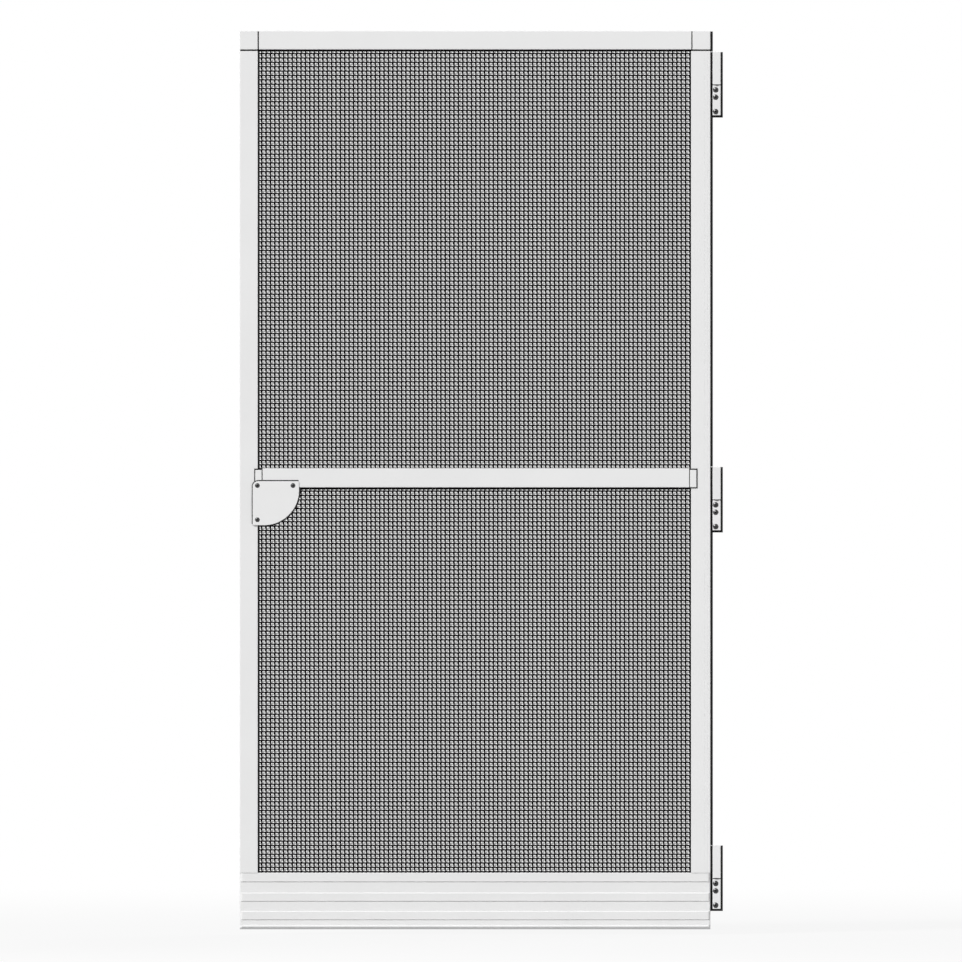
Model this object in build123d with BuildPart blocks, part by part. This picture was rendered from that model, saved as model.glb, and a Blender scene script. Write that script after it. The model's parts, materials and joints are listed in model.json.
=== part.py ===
"""Screen door with one hinged leaf, built piece by piece.

Units are millimetres. +Z is up, +X points to the hinge side and -Y points to the
viewer. The hinge pins stand on the line X = 0. The face of the door casing is the
plane Y = 0. Z = 0 is near the middle of the middle hinge's fixed block.
"""

import os

from build123d import *

os.makedirs("parts", exist_ok=True)

# Leaf
leaf_width = 1100.0
leaf_height = 2100.0
leaf_depth = 14.0
leaf_bottom = -967.1
casing_gap = 7.0
pin_to_leaf = 14.5

# Frame bars, measured across the bar (width) and from front to back (depth)
handle_stile_width = 42.0
hinge_stile_width = 45.2
top_rail_width = 43.2
bar_wall = 1.4
bar_edge_radius = 1.2
side_slot_width = 3.2
side_slot_depth = 8.0
ledge_width = 6.0
ledge_drop = 2.4
spline_groove_width = 4.4
spline_groove_floor = 5.6
score_line_width = 0.8
score_line_depth = 0.3
score_line_first = 5.6
score_line_second = 12.6

# Corner covers and the connectors inside them
corner_width = 41.8
corner_height = 43.4
corner_gap_below = 3.4
corner_gap_across = 2.8
connector_leg_width = 20.6
connector_flange_inset = 0.7
connector_flange_back = 5.2
corner_edge_chamfer = 0.8
connector_leg_length = 35.0
connector_play = 0.1
connector_end_chamfer = 1.0

# Kick plate, heights measured up from its lower edge
kick_height = 132.1
kick_wall = 1.6
kick_recess = 2.1
kick_slope = 1.6
kick_recess_tops = [111.1, 65.6, 22.5]
kick_recess_bottoms = [84.8, 41.7, 8.9]
kick_bevel_height = 5.4
kick_bevel_depth = 5.0
kick_back_radius = 1.2
kick_joint_height = 1.3
kick_joint_depth = 1.6
kick_cap_length = 7.0
kick_cap_radius = 6.5
kick_web_heights = [88.0, 44.0]

# Plugs that join the stiles to the kick plate
plug_width = 20.0
plug_depth = 8.0
plug_up = 40.0
plug_down = 30.0
plug_play = 0.1
plug_end_chamfer = 0.6

# Mid rail and its caps
rail_bottom = 65.9
rail_height = 44.7
rail_wall = 1.4
rail_proud = 2.0
rail_edge_radius = 1.2
rail_cap_from_left = 35.8
rail_cap_from_right = 32.3
rail_cap_length = 15.6
rail_cap_gap = 1.8
rail_cap_drop = 3.6
rail_tongue_length = 15.0
rail_tongue_play = 0.1
rail_cap_chamfer = 1.0

# Handle plates
handle_from_edge = 29.9
handle_over_rail = 14.6
handle_width = 108.6
handle_height = 103.0
handle_front_thickness = 2.0
handle_back_thickness = 1.5
handle_sweep_radius = 81.5
handle_big_radius = 13.0
handle_small_radius = 3.0
handle_screw_inset = 11.2
handle_screw_span = 83.2
handle_screw_drop = 10.2
handle_screw_fall = 80.0
handle_screw_hole_radius = 2.2
handle_recess_radius = 5.7
handle_recess_depth = 1.4
handle_edge_chamfer = 0.5
handle_boss_radius = 5.0
handle_pad_gap = 0.5

# Screen, a sheet with a plain grid of openings in the place of its fine weave
screen_thickness = 1.4
screen_border = 4.0
screen_columns = 8
screen_rows_above = 8
screen_rows_below = 7
screen_open_share = 0.66

# Spline in the groove
spline_proud = 1.0
spline_top_radius = 1.2

# Edge seal along the hinge stile
seal_reach = 5.7
seal_bulb_thickness = 6.0
seal_foot_thickness = 3.0
seal_end_gap = 1.0
seal_block_gap = 5.0
seal_top_gap = 1.0

# Hinges, heights measured from the line where a hinge divides
hinge_below_top = 126.5
hinge_above_bottom = 118.1
hinge_middle_division = 36.1
hinge_reach_left = 9.2
hinge_reach_right = 9.6
hinge_soft_radius = 4.0
hinge_sharp_radius = 1.5
knuckle_depth = 14.0
knuckle_height = 77.5
knuckle_bore_radius = 2.55
knuckle_bore_depth = 58.0
knuckle_edge_chamfer = 0.6
hinge_play = 0.3
washer_radius = 6.9
washer_thickness = 1.1
pin_radius = 2.5
pin_up = 55.0
pin_down = 6.5
pin_end_chamfer = 0.5
block_height = 70.5
block_front = -18.0
block_edge_chamfer = 0.6
block_screw_drops = [10.9, 28.1, 61.8]
block_screw_shift = -2.2
screw_hole_radius = 2.5
back_plate_thickness = 2.0
back_plate_right = 14.7
back_plate_below = 75.6
wing_thickness = 3.0
wing_bottom_drop = 5.0
wing_top_drop = 2.0
wing_above_kick = 2.0

# Places that follow from the sizes above
leaf_right = -pin_to_leaf
leaf_left = leaf_right - leaf_width
leaf_top = leaf_bottom + leaf_height
leaf_back = -casing_gap
leaf_front = leaf_back - leaf_depth
leaf_mid_y = (leaf_front + leaf_back) / 2
pin_y = leaf_mid_y
ledge_y = leaf_back - ledge_drop
groove_floor_y = leaf_front + spline_groove_floor
kick_top = leaf_bottom + kick_height
corner_bottom = leaf_top - corner_height
stile_top = corner_bottom - corner_gap_below
stile_length = stile_top - kick_top
inner_left = leaf_left + handle_stile_width
inner_right = leaf_right - hinge_stile_width
inner_top = leaf_top - top_rail_width
top_rail_start = leaf_left + corner_width + corner_gap_across
top_rail_end = leaf_right - corner_width - corner_gap_across
rail_top = rail_bottom + rail_height
cap_outer_left = leaf_left + rail_cap_from_left
cap_outer_right = leaf_right - rail_cap_from_right
rail_front = leaf_front - rail_proud
handle_left = leaf_left + handle_from_edge
handle_right = handle_left + handle_width
handle_top = rail_bottom + handle_over_rail
handle_bottom = handle_top - handle_height
hinge_division_heights = {
    "top": leaf_top - hinge_below_top,
    "middle": hinge_middle_division,
    "bottom": leaf_bottom + hinge_above_bottom,
}
chamber_start = side_slot_depth + bar_wall
chamber_depth = leaf_depth - 2 * bar_wall
chamber_loss = ledge_width + spline_groove_width + bar_wall
plug_from_edge = chamber_start + plug_play + plug_width / 2
plug_centres = [leaf_left + plug_from_edge, leaf_right - plug_from_edge]


def save(piece, name):
    """Name a finished piece and write it out."""
    piece.part.label = name
    export_step(piece.part, "parts/" + name + ".step")


def span_rectangle(x_low, x_high, y_low, y_high, mode=Mode.ADD):
    """A rectangle in the open sketch between two corners."""
    with Locations(((x_low + x_high) / 2, (y_low + y_high) / 2)):
        Rectangle(x_high - x_low, y_high - y_low, mode=mode)


def span_box(x_low, x_high, y_low, y_high, z_low, z_high, mode=Mode.ADD):
    """A box in the open part between two corners."""
    centre = ((x_low + x_high) / 2, (y_low + y_high) / 2, (z_low + z_high) / 2)
    with Locations(centre):
        Box(x_high - x_low, y_high - y_low, z_high - z_low, mode=mode)


# Frame bars

def build_frame_bar(section_plane, length, bar_width, with_score_lines):
    """A hollow bar. The section's first axis runs from the outer to the inner edge."""
    chamber_end = bar_width - chamber_loss
    groove_outer = chamber_end + bar_wall
    groove_inner = bar_width - ledge_width
    slot_low = (leaf_depth - side_slot_width) / 2
    slot_high = (leaf_depth + side_slot_width) / 2
    ledge_level = leaf_depth - ledge_drop
    back_wall = leaf_depth - bar_wall
    inner_wall = bar_width - bar_wall
    groove_wall = spline_groove_floor - bar_wall
    ledge_wall = ledge_level - bar_wall
    with BuildPart() as bar:
        with BuildSketch(section_plane) as section:
            span_rectangle(0, bar_width, 0, leaf_depth)
            fillet(section.vertices(), bar_edge_radius)
            # Ledge for the screen, groove for the spline, slot in the outer edge
            span_rectangle(groove_inner, bar_width + 1, ledge_level, leaf_depth + 1, Mode.SUBTRACT)
            span_rectangle(groove_outer, groove_inner, spline_groove_floor, leaf_depth + 1, Mode.SUBTRACT)
            span_rectangle(-1, side_slot_depth, slot_low, slot_high, Mode.SUBTRACT)
            # Hollows
            span_rectangle(chamber_start, chamber_end, bar_wall, back_wall, Mode.SUBTRACT)
            span_rectangle(bar_wall, side_slot_depth, bar_wall, slot_low - bar_wall, Mode.SUBTRACT)
            span_rectangle(bar_wall, side_slot_depth, slot_high + bar_wall, back_wall, Mode.SUBTRACT)
            span_rectangle(groove_outer, inner_wall, bar_wall, groove_wall, Mode.SUBTRACT)
            span_rectangle(groove_inner + bar_wall, inner_wall, bar_wall, ledge_wall, Mode.SUBTRACT)
            if with_score_lines:
                for line in (score_line_first, score_line_second):
                    line_start = line - score_line_width / 2
                    line_end = line + score_line_width / 2
                    span_rectangle(line_start, line_end, -1, score_line_depth, Mode.SUBTRACT)
        extrude(amount=length)
    return bar


left_stile_plane = Plane(origin=(leaf_left, leaf_front, kick_top), x_dir=(1, 0, 0), z_dir=(0, 0, 1))
left_stile = build_frame_bar(left_stile_plane, stile_length, handle_stile_width, False)
save(left_stile, "left_stile")

right_stile_plane = Plane(origin=(leaf_right, leaf_front, stile_top), x_dir=(-1, 0, 0), z_dir=(0, 0, -1))
right_stile = build_frame_bar(right_stile_plane, stile_length, hinge_stile_width, True)
save(right_stile, "right_stile")

top_rail_plane = Plane(origin=(top_rail_start, leaf_front, leaf_top), x_dir=(0, 0, -1), z_dir=(1, 0, 0))
top_rail = build_frame_bar(top_rail_plane, top_rail_end - top_rail_start, top_rail_width, False)
save(top_rail, "top_rail")


# Corner covers and connectors

def connector_spans(outer_x, side, play):
    """The two legs of a connector as box corners, grown by play."""
    near = chamber_start + connector_play - play
    far = near + connector_leg_width + 2 * play
    half_depth = chamber_depth / 2 - connector_play + play
    reach = corner_width + corner_gap_across + connector_leg_length
    down_x = sorted((outer_x + side * near, outer_x + side * far))
    across_x = sorted((outer_x + side * near, outer_x + side * reach))
    down = (
        *down_x,
        leaf_mid_y - half_depth,
        leaf_mid_y + half_depth,
        stile_top - connector_leg_length,
        leaf_top - near,
    )
    across = (
        *across_x,
        leaf_mid_y - half_depth,
        leaf_mid_y + half_depth,
        leaf_top - far,
        leaf_top - near,
    )
    return [down, across]


def build_connector(outer_x, side):
    """An angle with one leg down in the stile and one across in the top rail.

    side is 1 at the left corner and -1 at the right corner.
    """
    near_x = outer_x + side * (corner_width + connector_play)
    far_x = outer_x + side * (corner_width + corner_gap_across - connector_play)
    across_x = sorted((near_x, far_x))
    with BuildPart() as connector:
        for corners in connector_spans(outer_x, side, 0):
            span_box(*corners)
        chamfer(connector.edges().group_by(Axis.Z)[0], connector_end_chamfer)
        # Flanges that show as dark lines in the two joints
        outer_end = outer_x + side * connector_flange_inset
        inner_end = outer_x + side * (corner_width - connector_flange_inset)
        flange_x = sorted((outer_end, inner_end))
        span_box(
            *flange_x,
            leaf_front + connector_flange_inset,
            leaf_front + connector_flange_back,
            stile_top + connector_play,
            corner_bottom - connector_play,
        )
        span_box(
            *across_x,
            leaf_front + connector_flange_inset,
            leaf_front + connector_flange_back,
            inner_top + connector_flange_inset,
            leaf_top - connector_flange_inset,
        )
    return connector


def build_corner(outer_x, side):
    """A corner cover that sits on the connector, a small gap from both bars."""
    cover_x = sorted((outer_x, outer_x + side * corner_width))
    with BuildPart() as corner:
        span_box(*cover_x, leaf_front, leaf_back, corner_bottom, leaf_top)
        chamfer(corner.edges(), corner_edge_chamfer)
        for corners in connector_spans(outer_x, side, connector_play):
            span_box(*corners, mode=Mode.SUBTRACT)
        # Slot in the outer edge, in line with the stile's
        slot_x = sorted((outer_x - side, outer_x + side * side_slot_depth))
        span_box(
            *slot_x,
            leaf_mid_y - side_slot_width / 2,
            leaf_mid_y + side_slot_width / 2,
            corner_bottom - 1,
            leaf_top + 1,
            mode=Mode.SUBTRACT,
        )
        # Relief for the corner of the screen, on the ledges' level
        stile_width = handle_stile_width if side > 0 else hinge_stile_width
        relief_start = outer_x + side * (stile_width - ledge_width)
        relief_end = outer_x + side * (corner_width + 1)
        relief_x = sorted((relief_start, relief_end))
        span_box(
            *relief_x,
            ledge_y,
            leaf_back + 1,
            corner_bottom - 1,
            inner_top + ledge_width,
            mode=Mode.SUBTRACT,
        )
    return corner


for place, outer_x, side in (("left", leaf_left, 1), ("right", leaf_right, -1)):
    connector = build_connector(outer_x, side)
    save(connector, "connector_" + place)
    corner = build_corner(outer_x, side)
    save(corner, "corner_" + place)


# Kick plate

def kick_outline_points():
    """The front of the kick plate as points (down from the top edge, in from the front)."""
    points = [(0, kick_joint_depth), (kick_joint_height, kick_joint_depth), (kick_joint_height, 0)]
    for top, bottom in zip(kick_recess_tops, kick_recess_bottoms):
        points.append((kick_height - top - kick_slope / 2, 0))
        points.append((kick_height - top + kick_slope / 2, kick_recess))
        points.append((kick_height - bottom - kick_slope / 2, kick_recess))
        points.append((kick_height - bottom + kick_slope / 2, 0))
    points.append((kick_height - kick_bevel_height, 0))
    points.append((kick_height, kick_bevel_depth))
    points.append((kick_height, leaf_depth))
    points.append((0, leaf_depth))
    return points


def kick_section(x_start, is_hollow):
    """The kick plate's section, ready to run along X."""
    section_plane = Plane(origin=(x_start, leaf_front, kick_top), x_dir=(0, 0, -1), z_dir=(1, 0, 0))
    ledge_level = leaf_depth - ledge_drop
    chamber_front = kick_recess + kick_wall
    chamber_edges = [ledge_width + spline_groove_width + bar_wall]
    for height in kick_web_heights:
        chamber_edges.append(kick_height - height - kick_wall / 2)
        chamber_edges.append(kick_height - height + kick_wall / 2)
    chamber_edges.append(kick_height - kick_bevel_height)
    with BuildSketch(section_plane) as section:
        with BuildLine():
            Polyline(*kick_outline_points(), close=True)
        make_face()
        lower_back = section.vertices().group_by(Axis.X)[-1].sort_by(Axis.Y)[-1]
        fillet(lower_back, kick_back_radius)
        span_rectangle(-1, ledge_width, ledge_level, leaf_depth + 1, Mode.SUBTRACT)
        span_rectangle(
            ledge_width,
            ledge_width + spline_groove_width,
            spline_groove_floor,
            leaf_depth + 1,
            Mode.SUBTRACT,
        )
        if is_hollow:
            for start, end in zip(chamber_edges[0::2], chamber_edges[1::2]):
                span_rectangle(start, end, chamber_front, leaf_depth - kick_wall, Mode.SUBTRACT)
    return section.sketch


kick_start = leaf_left + kick_cap_length
kick_end = leaf_right - kick_cap_length


def build_kick_plate():
    """The hollow plate. A pocket in its top at each end takes a plug."""
    with BuildPart() as plate:
        extrude(to_extrude=kick_section(kick_start, True), amount=kick_end - kick_start)
        for plug_x in plug_centres:
            span_box(
                plug_x - plug_width / 2,
                plug_x + plug_width / 2,
                leaf_mid_y - plug_depth / 2,
                leaf_mid_y + plug_depth / 2,
                kick_top - plug_down,
                kick_top + 1,
                Mode.SUBTRACT,
            )
    return plate


kick_plate = build_kick_plate()
save(kick_plate, "kick_plate")


def build_kick_cap(outer_x, side):
    """An end cap with the plate's section, rounded at its outer front edge."""
    x_low = min(outer_x, outer_x + side * kick_cap_length)
    with BuildPart() as cap:
        extrude(to_extrude=kick_section(x_low, False), amount=kick_cap_length)
        with BuildSketch(Plane.XY.offset(leaf_bottom - 1)) as plan:
            span_rectangle(x_low, x_low + kick_cap_length, leaf_front, leaf_back)
            front_corners = plan.vertices().group_by(Axis.Y)[0].sort_by(Axis.X)
            outer_corner = front_corners[0] if side > 0 else front_corners[-1]
            fillet(outer_corner, kick_cap_radius)
        extrude(amount=kick_height + 2, mode=Mode.INTERSECT)
    return cap


kick_cap_left = build_kick_cap(leaf_left, 1)
save(kick_cap_left, "kick_cap_left")

kick_cap_right = build_kick_cap(leaf_right, -1)
save(kick_cap_right, "kick_cap_right")


# Plugs between the stiles and the kick plate

def build_plug(centre_x):
    """A block that stands in the kick plate's pocket and in the stile's hollow."""
    half_width = plug_width / 2 - plug_play
    half_depth = plug_depth / 2 - plug_play
    with BuildPart() as plug:
        span_box(
            centre_x - half_width,
            centre_x + half_width,
            leaf_mid_y - half_depth,
            leaf_mid_y + half_depth,
            kick_top - plug_down,
            kick_top + plug_up,
        )
        chamfer(plug.edges().group_by(Axis.Z)[-1], plug_end_chamfer)
    return plug


plug_left = build_plug(plug_centres[0])
save(plug_left, "plug_left")

plug_right = build_plug(plug_centres[1])
save(plug_right, "plug_right")


# Mid rail and its caps

def build_mid_rail():
    """A hollow bar in front of the screen."""
    rail_x_start = cap_outer_left + rail_cap_length + rail_cap_gap
    rail_x_end = cap_outer_right - rail_cap_length - rail_cap_gap
    section_plane = Plane(origin=(rail_x_start, rail_front, rail_top), x_dir=(0, 0, -1), z_dir=(1, 0, 0))
    depth = ledge_y - rail_front
    with BuildPart() as rail:
        with BuildSketch(section_plane) as section:
            span_rectangle(0, rail_height, 0, depth)
            fillet(section.vertices(), rail_edge_radius)
            span_rectangle(rail_wall, rail_height - rail_wall, rail_wall, depth - rail_wall, Mode.SUBTRACT)
        extrude(amount=rail_x_end - rail_x_start)
    return rail


mid_rail = build_mid_rail()
save(mid_rail, "mid_rail")


def build_rail_cap(lap_x, inner_x, side):
    """A cap that closes the mid rail's end, laps over the stile and plugs into the rail."""
    shoulder_x = lap_x + side * rail_cap_length
    tongue_x = shoulder_x + side * (rail_cap_gap + rail_tongue_length)
    cap_top = rail_top - rail_cap_drop
    body_x = sorted((inner_x, shoulder_x))
    lip_x = sorted((lap_x, shoulder_x))
    plug_x = sorted((shoulder_x - side, tongue_x))
    inset = rail_wall + rail_tongue_play
    with BuildPart() as cap:
        span_box(lip_x[0], lip_x[1], rail_front, leaf_front, rail_bottom, cap_top)
        front_edges = cap.edges().group_by(Axis.Y)[0]
        chamfer(front_edges, rail_cap_chamfer)
        span_box(body_x[0], body_x[1], leaf_front, ledge_y, rail_bottom, cap_top)
        span_box(
            plug_x[0],
            plug_x[1],
            rail_front + inset,
            ledge_y - inset,
            rail_bottom + inset,
            cap_top - inset,
        )
    return cap


rail_cap_left = build_rail_cap(cap_outer_left, inner_left, 1)
save(rail_cap_left, "rail_cap_left")

rail_cap_right = build_rail_cap(cap_outer_right, inner_right, -1)
save(rail_cap_right, "rail_cap_right")


# Handle plates

handle_screw_x = handle_left + handle_screw_inset
handle_screw_z = handle_top - handle_screw_drop
handle_screw_places = [
    (handle_screw_x, handle_screw_z),
    (handle_screw_x + handle_screw_span, handle_screw_z),
    (handle_screw_x, handle_screw_z - handle_screw_fall),
]


def handle_outline(near_y):
    """The handle plate's outline on an upright plane, with one wide sweep at the lower right."""
    with BuildSketch(Plane.XZ.offset(-near_y)) as outline:
        span_rectangle(handle_left, handle_right, handle_bottom, handle_top)
        low_right = outline.vertices().group_by(Axis.Y)[0].sort_by(Axis.X)[-1]
        fillet(low_right, handle_sweep_radius)
        top_left = outline.vertices().group_by(Axis.Y)[-1].sort_by(Axis.X)[0]
        fillet(top_left, handle_big_radius)
        top_right = outline.vertices().group_by(Axis.Y)[-1].sort_by(Axis.X)[-1]
        fillet(top_right, handle_small_radius)
        low_left = outline.vertices().group_by(Axis.Y)[0].sort_by(Axis.X)[0]
        fillet(low_left, handle_small_radius)
    return outline.sketch


def handle_screw_planes(face_y):
    """One plane for each screw on a plate's face, looking to the front."""
    planes = []
    for x, z in handle_screw_places:
        planes.append(Plane(origin=(x, face_y, z), x_dir=(1, 0, 0), z_dir=(0, -1, 0)))
    return planes


def build_handle_front():
    """The near plate, on the mid rail, with a pad behind it where it stands off the stile."""
    with BuildPart() as plate:
        extrude(to_extrude=handle_outline(rail_front), amount=handle_front_thickness)
        chamfer(plate.edges().group_by(Axis.Y)[0], handle_edge_chamfer)
        span_box(
            handle_left + handle_small_radius,
            inner_left,
            rail_front,
            leaf_front,
            handle_bottom + handle_small_radius,
            rail_bottom - handle_pad_gap,
        )
        with Locations(*handle_screw_planes(rail_front - handle_front_thickness)):
            CounterBoreHole(handle_screw_hole_radius, handle_recess_radius, handle_recess_depth)
    return plate


handle_front = build_handle_front()
save(handle_front, "handle_front")


def build_handle_back():
    """The far plate, on the stile's back and on a boss against the screen behind the rail."""
    with BuildPart() as plate:
        back_outline = handle_outline(leaf_back + handle_back_thickness)
        extrude(to_extrude=back_outline, amount=handle_back_thickness)
        with BuildSketch(Plane.XZ.offset(-leaf_back)):
            with Locations(handle_screw_places[1]):
                Circle(handle_boss_radius)
        extrude(amount=ledge_drop - screen_thickness)
        with Locations(*handle_screw_planes(leaf_back)):
            Hole(handle_screw_hole_radius)
    return plate


handle_back = build_handle_back()
save(handle_back, "handle_back")


# Screen and spline

def build_screen():
    """The screen as one sheet on the ledges, open above and below the mid rail."""
    field_left = inner_left + screen_border
    field_right = inner_right - screen_border
    fields = [
        (rail_top + screen_border, inner_top - screen_border, screen_rows_above),
        (kick_top + screen_border, rail_bottom - screen_border, screen_rows_below),
    ]
    column_step = (field_right - field_left) / screen_columns
    with BuildPart() as screen:
        with BuildSketch(Plane.XZ.offset(-ledge_y)):
            span_rectangle(
                inner_left - ledge_width,
                inner_right + ledge_width,
                kick_top - ledge_width,
                inner_top + ledge_width,
            )
            for low, high, rows in fields:
                row_step = (high - low) / rows
                with Locations(((field_left + field_right) / 2, (low + high) / 2)):
                    with GridLocations(column_step, row_step, screen_columns, rows):
                        Rectangle(
                            column_step * screen_open_share,
                            row_step * screen_open_share,
                            mode=Mode.SUBTRACT,
                        )
        extrude(amount=-screen_thickness)
    return screen


screen_mesh = build_screen()
save(screen_mesh, "screen_mesh")


def build_spline(section_plane, length):
    """A soft bead that fills the groove. The section plane starts at the groove's floor."""
    spline_height = leaf_depth - ledge_drop - spline_groove_floor + spline_proud
    with BuildPart() as bead:
        with BuildSketch(section_plane) as section:
            span_rectangle(0, spline_groove_width, 0, spline_height)
            crown = section.vertices().group_by(Axis.Y)[-1]
            fillet(crown, spline_top_radius)
        extrude(amount=length)
    return bead


groove_left_x = inner_left - ledge_width - spline_groove_width
groove_right_x = inner_right + ledge_width
groove_top_z = inner_top + ledge_width + spline_groove_width
groove_bottom_z = kick_top - ledge_width

spline_left = build_spline(
    Plane(origin=(groove_left_x, groove_floor_y, kick_top), x_dir=(1, 0, 0), z_dir=(0, 0, 1)), stile_length
)
save(spline_left, "spline_left")

spline_right = build_spline(
    Plane(origin=(groove_right_x, groove_floor_y, kick_top), x_dir=(1, 0, 0), z_dir=(0, 0, 1)), stile_length
)
save(spline_right, "spline_right")

spline_top = build_spline(
    Plane(origin=(top_rail_start, groove_floor_y, groove_top_z), x_dir=(0, 0, -1), z_dir=(1, 0, 0)),
    top_rail_end - top_rail_start,
)
save(spline_top, "spline_top")

spline_bottom = build_spline(
    Plane(origin=(inner_left, groove_floor_y, groove_bottom_z), x_dir=(0, 0, -1), z_dir=(1, 0, 0)),
    inner_right - inner_left,
)
save(spline_bottom, "spline_bottom")


# Edge seal

def build_edge_seal():
    """Three lengths of seal in the hinge stile's slot, between and above the hinges."""
    top_z = hinge_division_heights["top"]
    middle_z = hinge_division_heights["middle"]
    bottom_z = hinge_division_heights["bottom"]
    spans = [
        (top_z + knuckle_height + seal_end_gap, leaf_top - seal_top_gap),
        (middle_z + knuckle_height + seal_end_gap, top_z - block_height - seal_block_gap),
        (bottom_z + knuckle_height + seal_end_gap, middle_z - block_height - seal_block_gap),
    ]
    with BuildPart() as seal:
        for low, high in spans:
            with BuildSketch(Plane.XY.offset(low)) as section:
                span_rectangle(
                    leaf_right,
                    leaf_right + seal_reach,
                    leaf_mid_y - seal_bulb_thickness / 2,
                    leaf_mid_y + seal_bulb_thickness / 2,
                )
                fillet(section.vertices().group_by(Axis.X)[-1], seal_bulb_thickness / 3)
                span_rectangle(
                    leaf_right - side_slot_depth,
                    leaf_right,
                    leaf_mid_y - seal_foot_thickness / 2,
                    leaf_mid_y + seal_foot_thickness / 2,
                )
            extrude(amount=high - low)
    return seal


edge_seal = build_edge_seal()
save(edge_seal, "edge_seal")


# Hinges

def build_knuckle(division_z):
    """The upper half of a hinge, bored from below for the pin."""
    low = division_z + washer_thickness + hinge_play
    with BuildPart() as knuckle:
        with BuildSketch(Plane.XY.offset(low)) as plan:
            span_rectangle(
                -hinge_reach_left,
                hinge_reach_right,
                pin_y - knuckle_depth / 2,
                pin_y + knuckle_depth / 2,
            )
            fillet(plan.vertices().group_by(Axis.Y)[-1], hinge_soft_radius)
            fillet(plan.vertices().group_by(Axis.Y)[0], hinge_sharp_radius)
        extrude(amount=division_z + knuckle_height - low)
        end_edges = knuckle.edges().group_by(Axis.Z)[0] + knuckle.edges().group_by(Axis.Z)[-1]
        chamfer(end_edges, knuckle_edge_chamfer)
        with BuildSketch(Plane.XY.offset(low)):
            with Locations((0, pin_y)):
                Circle(knuckle_bore_radius)
        extrude(amount=knuckle_bore_depth, mode=Mode.SUBTRACT)
    return knuckle


def build_washer(division_z):
    """The ring on the pin, between the fixed block and the knuckle."""
    with BuildPart() as washer:
        with BuildSketch(Plane.XY.offset(division_z)):
            with Locations((0, pin_y)):
                Circle(washer_radius)
                Circle(knuckle_bore_radius, mode=Mode.SUBTRACT)
        extrude(amount=washer_thickness)
    return washer


def build_wing(division_z):
    """The plate that carries a knuckle, slid into the stile's slot."""
    low = max(division_z + wing_bottom_drop, kick_top + wing_above_kick)
    high = division_z + knuckle_height - wing_top_drop
    with BuildPart() as wing:
        span_box(
            leaf_right - side_slot_depth,
            -hinge_reach_left,
            pin_y - wing_thickness / 2,
            pin_y + wing_thickness / 2,
            low,
            high,
        )
    return wing


def build_hinge_block(division_z):
    """The fixed lower half of a hinge: three screw holes and a seat for the pin."""
    low = division_z - block_height
    with BuildPart() as block:
        with BuildSketch(Plane.XY.offset(low)) as plan:
            span_rectangle(-hinge_reach_left, hinge_reach_right, block_front, -back_plate_thickness)
            fillet(plan.vertices().group_by(Axis.Y)[0], hinge_sharp_radius)
        extrude(amount=block_height)
        end_edges = block.edges().group_by(Axis.Z)[0] + block.edges().group_by(Axis.Z)[-1]
        front_edges = end_edges.filter_by(lambda edge: edge.center().Y < -back_plate_thickness - 1)
        chamfer(front_edges, block_edge_chamfer)
        with BuildSketch(Plane.XY.offset(division_z)):
            with Locations((0, pin_y)):
                Circle(pin_radius)
        extrude(amount=-pin_down, mode=Mode.SUBTRACT)
        for drop in block_screw_drops:
            screw_place = (block_screw_shift, block_front, division_z - drop)
            with Locations(Plane(origin=screw_place, x_dir=(1, 0, 0), z_dir=(0, -1, 0))):
                Hole(screw_hole_radius)
    return block


def build_pin(division_z):
    """The steel pin, fixed in the block and free in the knuckle."""
    with BuildPart() as pin:
        with BuildSketch(Plane.XY.offset(division_z - pin_down)):
            with Locations((0, pin_y)):
                Circle(pin_radius)
        extrude(amount=pin_down + pin_up)
        top_edge = pin.edges().filter_by(GeomType.CIRCLE).sort_by(Axis.Z)[-1]
        chamfer(top_edge, pin_end_chamfer)
    return pin


def build_back_plate(division_z):
    """The dark plate behind a whole hinge, flat on the casing."""
    with BuildPart() as plate:
        span_box(
            leaf_right,
            back_plate_right,
            -back_plate_thickness,
            0,
            division_z - back_plate_below,
            division_z + knuckle_height,
        )
        for drop in block_screw_drops:
            screw_place = (block_screw_shift, 0, division_z - drop)
            with Locations(Plane(origin=screw_place, x_dir=(1, 0, 0), z_dir=(0, 1, 0))):
                Hole(screw_hole_radius)
    return plate


for place, division in hinge_division_heights.items():
    knuckle = build_knuckle(division)
    save(knuckle, "knuckle_" + place)
    wing = build_wing(division)
    save(wing, "wing_" + place)
    hinge_block = build_hinge_block(division)
    save(hinge_block, "hinge_block_" + place)
    pin = build_pin(division)
    save(pin, "pin_" + place)
    washer = build_washer(division)
    save(washer, "washer_" + place)
    back_plate = build_back_plate(division)
    save(back_plate, "back_plate_" + place)
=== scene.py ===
import json
import math

import bpy
import bmesh
import numpy as np
from mathutils import Matrix, Vector


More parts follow.
